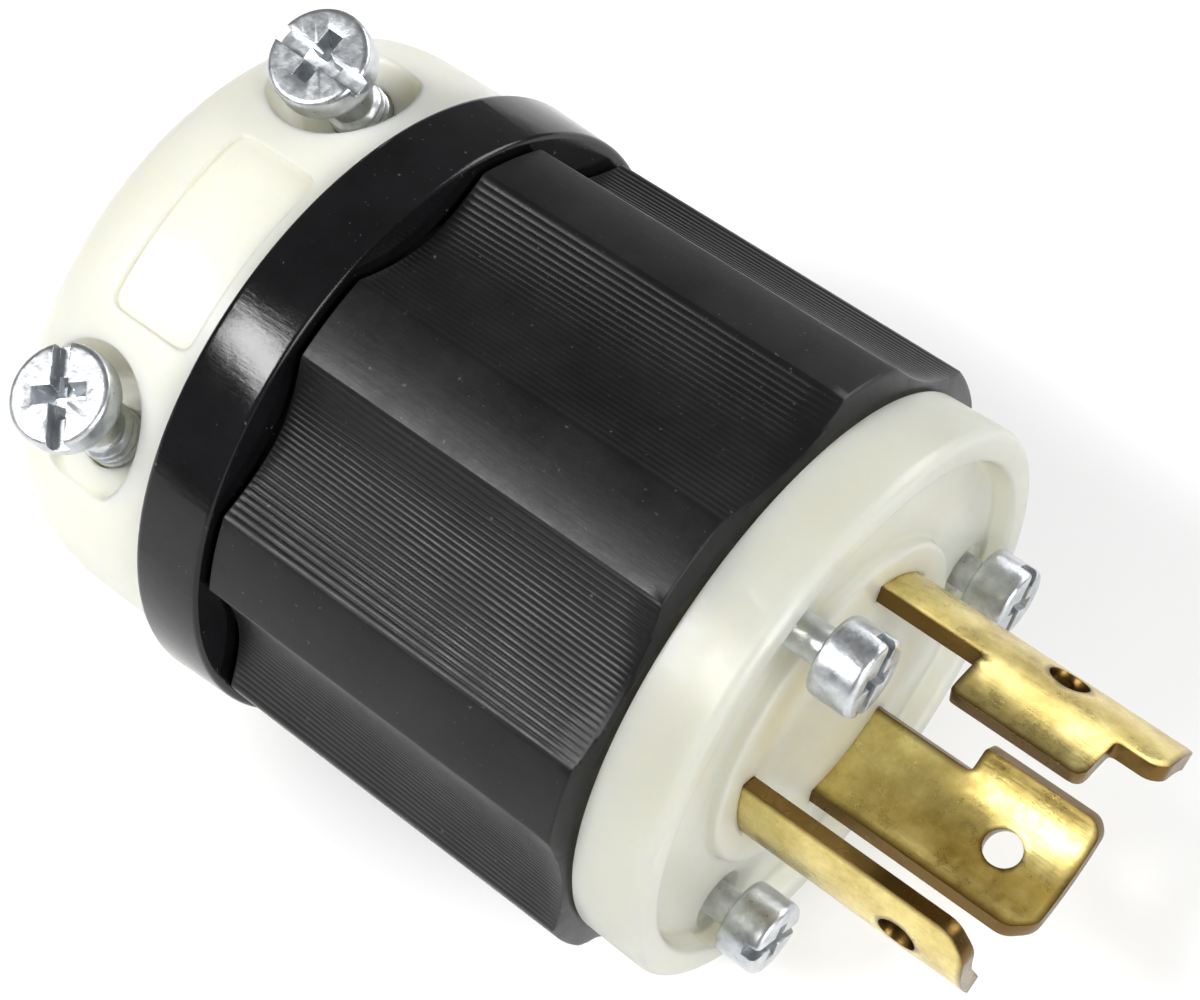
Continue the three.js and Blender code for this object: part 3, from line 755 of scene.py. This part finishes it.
def mark_edges(piece, loops, middle, reach=0.45):
    """Stores on each point how near it is to the plate's cut edges, from 0 to 1."""
    attribute = piece.data.attributes.new("edge", "FLOAT", "POINT")
    for vertex in piece.data.vertices:
        x, y, z = vertex.co / MM
        angle = math.atan2(y, z) - math.radians(middle - FACE_TURN)
        angle = (angle + math.pi) % (2 * math.pi) - math.pi
        point = Vector((x, angle * CIRCLE_R))
        nearest = min(distance_to_loop(point, loop) for loop in loops)
        attribute.data[vertex.index].value = max(0.0, 1 - nearest / reach)


for name, blade in BLADES.items():
    middle, along, outline = blade_outline(blade)
    holes = [round_hole(HOLE_X, along(blade["hole"]), HOLE_R), round_hole(TERMINAL_X, 0, TERMINAL_HOLE_R)]
    radii = (BLADE_INNER_R, BLADE_OUTER_R)
    piece = curved_plate(name + "_piece", outline, holes, *radii, middle, FACE_TURN)
    bevel(piece, 0.14, 3, 50)
    mark_edges(piece, [outline, *holes], middle)
    finish_piece(piece, "plug_body", BRASS, [name], 50)


# ---------------------------------------------------------------- front body


def arc_block(inner, outer, low, high, front, back, turn):
    """A cutter: part of a ring from one angle to another, along X."""
    steps = 14
    section = []
    for radius, order in ((outer, range(steps + 1)), (inner, range(steps, -1, -1))):
        for k in order:
            angle = math.radians(low + (high - low) * k / steps)
            section.append((radius * math.sin(angle), radius * math.cos(angle)))
    count = len(section)
    points = [(x, y, z) for x in (back, front) for y, z in section]
    faces = [list(range(count)), list(range(count, 2 * count))]
    faces += [[i, (i + 1) % count, (i + 1) % count + count, i + count] for i in range(count)]
    return new_piece("cutter", points, faces, turn)


def make_front_body():
    """The face and the skirt behind it, cut for the screws and the blades."""
    profile = rounded([
        (WALL_BACK, 0, 0), (WALL_BACK, SKIRT_INNER_R, 0.3), (SKIRT_BACK, SKIRT_INNER_R, 0.2),
        (SKIRT_BACK, SKIRT_R, 0.2), (SHOULDER_X, SKIRT_R, 0), (SHOULDER_X, FACE_R - 0.12, 0.12),
        (0.15, FACE_R, 0.3), (RIM_CREST, FACE_R - 0.35, 0.3), (RIM_CREST, RIM_INNER_R + 0.1, 0.4),
        (FLOOR_X, RIM_INNER_R - 0.25, 0.35), (FLOOR_X, ISLAND_R + 0.2, 0.25), (0, ISLAND_R, 0.3),
        (0, 0, 0),
    ])
    front = lathe("front_body_piece", profile, 192, FACE_TURN)
    cutters = []
    hole_r = FACE_SCREW["thread"] + THREAD_CLEARANCE
    seat_r = FACE_SCREW["head"] + HEAD_CLEARANCE
    mouth = 0.3
    channel_end = WALL_BACK + 0.02  # a little into the wall, so that no two cut faces coincide
    ahead = 9  # clear of the rim
    slot_front = 5
    for angle in SCREW_ANGLES:
        hole = lathe("cutter", [
            (-FAR, 0), (-FAR, CHANNEL_R), (channel_end, CHANNEL_R), (channel_end, hole_r),
            (FLOOR_X - mouth, hole_r), (FLOOR_X, hole_r + mouth), (FLOOR_X, seat_r), (ahead, seat_r),
            (ahead, 0),
        ], 64)
        cutters.append(move(hole, *face_line(angle, 0)))
    for blade in BLADES.values():
        side = math.degrees(GAP / 2 / CIRCLE_R)
        radii = (BLADE_INNER_R - GAP / 3, BLADE_OUTER_R + GAP / 3)
        angles = (blade["low"] - side, blade["high"] + side)
        cutters.append(arc_block(*radii, *angles, slot_front, -FAR, FACE_TURN))
    return carve(front, cutters)


finish_piece(make_front_body(), "plug_body", FACE_NYLON, ["front_body"])


# ---------------------------------------------------------------- housing


def flute_radius(angle, x):
    """The barrel's radius at an angle in degrees from a ridge, with the ribs in the flutes."""
    pitch = 360 / RIDGES
    off = (angle + pitch / 2) % pitch - pitch / 2
    distance = abs(off)
    if distance <= RIDGE_HALF:
        near_edge = max(0, (distance - RIDGE_HALF + EDGE_WIDTH) / EDGE_WIDTH)
        return RIDGE_R - EDGE_DROP * near_edge ** 2
    across = (distance - RIDGE_HALF) / (pitch / 2 - RIDGE_HALF)
    along = (BARREL_FRONT - x) / (BARREL_FRONT - BARREL_REAR)
    depth = FLUTE_FRONT + (FLUTE_REAR - FLUTE_FRONT) * along
    radius = RIDGE_R - depth * (2 * across - across * across)
    width = pitch - 2 * RIDGE_HALF
    inside = (off % pitch) - RIDGE_HALF
    phase = inside / width * RIBS
    rib = abs(math.sin(math.pi * phase)) ** 0.8
    front_fade = max(0, (BARREL_FRONT - 0.5 - x) / 0.5)
    rear_fade = max(0, (x - BARREL_REAR) / 0.4)
    return radius - RIB_HEIGHT * (1 - rib) * min(1, front_fade, rear_fade)


def barrel_angles():
    """Angles round the barrel: a few on each ridge, closest at its edges, and several to each rib."""
    pitch = 360 / RIDGES
    width = pitch - 2 * RIDGE_HALF
    ridge_shares = (-1, -0.97, -0.94, -0.7, -0.35, 0, 0.35, 0.7, 0.94, 0.97, 1)
    angles = []
    for ridge in range(RIDGES):
        middle = ridge * pitch
        for share in ridge_shares:
            angles.append(middle + RIDGE_HALF * share)
        steps = RIBS * STEPS_PER_RIB
        for step in range(1, steps):
            angles.append(middle + RIDGE_HALF + width * step / steps)
    return angles


def make_housing():
    """The barrel with its ribbed flutes, the narrow neck behind it and the flange, as rings in one skin:
    from the bore over the outside to the back, and home through the wire window."""
    angles = barrel_angles()
    rings = []

    def ring(x, radius_at):
        points = []
        for angle in angles:
            radius = radius_at(angle)
            turn = math.radians(angle)
            points.append((x, radius * math.sin(turn), radius * math.cos(turn)))
        rings.append(points)

    edge = 0.15
    ring(REAR_WALL_X, lambda a: BORE_R)
    ring(BARREL_FRONT, lambda a: BORE_R)
    ring(BARREL_FRONT, lambda a: FRONT_R - edge)
    for back, limit in FRONT_BEVEL:
        x = BARREL_FRONT - back
        ring(x, lambda a, x=x, limit=limit: min(limit, flute_radius(a, x)))
    rear_steps = (0.7, 0.4, 0.2, 0.1)
    front_end = BARREL_FRONT - FRONT_BEVEL[-1][0]
    rear_end = BARREL_REAR + rear_steps[0]
    count = 26
    for step in range(1, count):
        x = front_end + (rear_end - front_end) * step / count
        ring(x, lambda a, x=x: flute_radius(a, x))
    for ahead in rear_steps:
        ring(BARREL_REAR + ahead, lambda a, x=BARREL_REAR + ahead: flute_radius(a, x))
    ring(BARREL_REAR, lambda a: flute_radius(a, BARREL_REAR) - edge)
    ring(BARREL_REAR - 0.05, lambda a: NECK_R)
    flange = rounded([
        (FLANGE_FRONT, NECK_R, 0), (FLANGE_FRONT, FLANGE_R - FLANGE_TAPER, 0.35),
        (FLANGE_BACK, FLANGE_R, 0.5), (FLANGE_BACK, BACK_FACE_R, 0),
    ])
    for x, radius in flange:
        ring(x, lambda a, radius=radius: radius)
    ring(FLANGE_BACK, lambda a: WINDOW_R)
    ring(REAR_WALL_X - 1, lambda a: WINDOW_R)
    housing = ring_surface("housing_piece", rings, BODY_TURN, closed=True)
    cutters = []
    for angle in SCREW_ANGLES:
        hole = rod(-FAR, REAR_WALL_X + 5, FACE_SCREW["thread"] + GAP)
        cutters.append(move(hole, *face_line(angle, 0)))
        cutters.append(move(nut_pocket(FACE_NUT), *face_line(angle, 0)))
    return carve(housing, cutters)


finish_piece(make_housing(), "plug_body", BLACK_NYLON, ["housing"], 28)


# ---------------------------------------------------------------- cord clamp


def clamp_shell(name, half):
    """The round shell that both jaws are cut from, with gripping ribs round the cord's bore."""
    mouth_end = CLAMP_FRONT - MOUTH["depth"]
    groove_r = CORD_R + GROOVE_DEPTH
    corners = [
        (CLAMP_BACK, CORD_R, 0.5), (CLAMP_BACK, CLAMP_R - CLAMP_TAPER["drop"], 1.6),
        (CLAMP_BACK + CLAMP_TAPER["length"], CLAMP_R, 2.2), (CLAMP_FRONT, CLAMP_R, 0.3),
        (CLAMP_FRONT, MOUTH["radius"], 0.3), (mouth_end, groove_r, 0.4),
    ]
    for rib in range(1, GRIP_RIBS):
        x = mouth_end - rib * (mouth_end - CLAMP_BACK) / GRIP_RIBS
        corners += [(x + GRIP_RIB_WIDTH, groove_r, 0.2), (x + GRIP_RIB_WIDTH / 2, CORD_R, 0.3)]
        corners.append((x, groove_r, 0.2))
    corners.append((CLAMP_BACK + GRIP_RIB_WIDTH, groove_r, 0.3))
    profile = rounded(corners, steps=6, closed=True)
    shell = lathe(name, profile, 192)
    return carve(shell, [block(*half)], "INTERSECT")


def at_clamp_screw(cutter, side):
    """Puts a cutter on a clamp screw's line, before the clamp is turned into place."""
    return move(cutter, turned(-90, "Y"), shift(CLAMP_SCREW_X, side * CLAMP_SCREW_SIDE, 0))


def pocket_cutter():
    """The round pocket over a clamp screw: a rounded floor and straight walls."""
    profile = rounded([(SHELF_Z, 0, 0), (SHELF_Z, POCKET_R, 0.7), (FAR, POCKET_R, 0), (FAR, 0, 0)])
    return lathe("cutter", profile, 64)


def panel_cutter():
    """The shallow blank panel between the clamp screws, a rounded rectangle that follows the shell."""
    ends = (PANEL["back"], PANEL["front"])
    half = PANEL["half"]
    corners = [(x, -half, PANEL["corner"]) for x in ends]
    corners += [(x, half, PANEL["corner"]) for x in reversed(ends)]
    outline = rounded(corners, closed=True)
    return curved_plate("cutter", outline, [], CLAMP_R - PANEL["depth"], CLAMP_R + 2, 0, 0, 1.0)


def make_clamp_cover():
    """The upper jaw, with its blank panel and the screws' pockets."""
    cover = clamp_shell("clamp_cover_piece", ((-FAR, -WIDE, GAP), (0, WIDE, WIDE)))
    cutters = [panel_cutter()]
    for side in SIDES:
        cutters.append(at_clamp_screw(rod(-FAR, FAR, CLAMP_SCREW["thread"] + THREAD_CLEARANCE), side))
        cutters.append(at_clamp_screw(pocket_cutter(), side))
        cutters.append(at_clamp_screw(rod(-1, WASHER_POCKET_Z, WASHER_POCKET_R), side))
    carve(cover, cutters)
    return move(cover, turned(BODY_TURN))


def make_clamp_base():
    """The lower jaw, with the pockets of the clamp nuts."""
    base = clamp_shell("clamp_base_piece", ((-FAR, -WIDE, -WIDE), (0, WIDE, -GAP)))
    cutters = []
    for side in SIDES:
        cutters.append(at_clamp_screw(rod(-FAR, FAR, CLAMP_SCREW["thread"] + THREAD_CLEARANCE), side))
        cutters.append(at_clamp_screw(nut_pocket(CLAMP_NUT), side))
    carve(base, cutters)
    return move(base, turned(BODY_TURN))


finish_piece(make_clamp_cover(), "cover", CLAMP_NYLON, ["clamp_cover"])
finish_piece(make_clamp_base(), "plug_body", CLAMP_NYLON, ["clamp_base"])

# ---------------------------------------------------------------- the pieces inside keep their CAD shape

INSIDE = {"interior_insulator": CLAMP_NYLON}
for number in (1, 2, 3):
    INSIDE[f"pressure_plate_{number}"] = STEEL
    INSIDE[f"terminal_screw_{number}"] = ZINC
    INSIDE[f"face_screw_retainer_{number}"] = FIBRE
for number in (1, 2):
    INSIDE[f"clamp_screw_retainer_{number}"] = FIBRE
for name, material in INSIDE.items():
    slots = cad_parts[name].material_slots
    for slot in slots:
        slot.material = material
    if not slots:
        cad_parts[name].data.materials.append(material)

# ---------------------------------------------------------------- floor, light and camera


def make_floor():
    """A wide white floor under the plug."""
    half_width = 1.2
    mesh = bpy.data.meshes.new("floor")
    made = bmesh.new()
    bmesh.ops.create_grid(made, x_segments=8, y_segments=8, size=half_width)
    bmesh.ops.translate(made, verts=made.verts, vec=(0, 0, CAD_BOX[0][2]))
    made.to_mesh(mesh)
    made.free()
    floor = bpy.data.objects.new("floor", mesh)
    bpy.context.scene.collection.objects.link(floor)
    material, tree, shader = new_material("floor_white", Roughness=0.75, Specular_IOR_Level=0.2)
    link(tree, ramp(tree, noise(tree, 3, 2), [(0.3, 0.9), (0.7, 0.93)]), shader.inputs["Base Color"])
    mesh.materials.append(material)


def add_light(name, place, target, size, power):
    """A rectangular area light aimed at the target; lengths in metres."""
    data = bpy.data.lights.new(name, "AREA")
    data.shape = "RECTANGLE"
    data.size = size[0]
    data.size_y = size[1]
    data.energy = power
    lamp = bpy.data.objects.new(name, data)
    lamp.location = place
    lamp.rotation_euler = (Vector(target) - Vector(place)).to_track_quat("-Z", "Y").to_euler()
    bpy.context.scene.collection.objects.link(lamp)


def make_world():
    """Plain white surroundings."""
    world = bpy.data.worlds.new("studio")
    world.use_nodes = True
    background = world.node_tree.nodes["Background"]
    background.inputs["Color"].default_value = (1, 1, 1, 1)
    background.inputs["Strength"].default_value = 0.2
    bpy.context.scene.world = world


def make_camera():
    """The camera that took the photo, looking back and down at the face."""
    data = bpy.data.cameras.new("camera")
    data.sensor_width = 36
    data.lens = 79.2
    data.clip_start = 0.01
    camera = bpy.data.objects.new("camera", data)
    forward = Vector((-0.3833, 0.4434, -0.8102))
    up = Vector((-0.5184, 0.6227, 0.5861))
    right = forward.cross(up).normalized()
    up = right.cross(forward).normalized()
    axes = Matrix((right, up, -forward.normalized())).transposed().to_4x4()
    place = Vector((46.8, -77.1, 146.0)) * MM
    camera.matrix_world = Matrix.Translation(place) @ axes
    bpy.context.scene.collection.objects.link(camera)
    bpy.context.scene.camera = camera


bpy.context.scene.view_settings.view_transform = "Standard"
bpy.context.scene.view_settings.exposure = 0.2
make_floor()
make_world()
make_camera()
AIM = (-0.02, 0, 0)
add_light("key", (-0.22, -0.34, 0.41), AIM, (0.24, 0.12), 2.5)
add_light("right", (0.48, -0.1, 0.3), AIM, (0.25, 0.3), 2.4)
add_light("back", (0.12, 0.5, 0.28), AIM, (0.5, 0.2), 2.0)
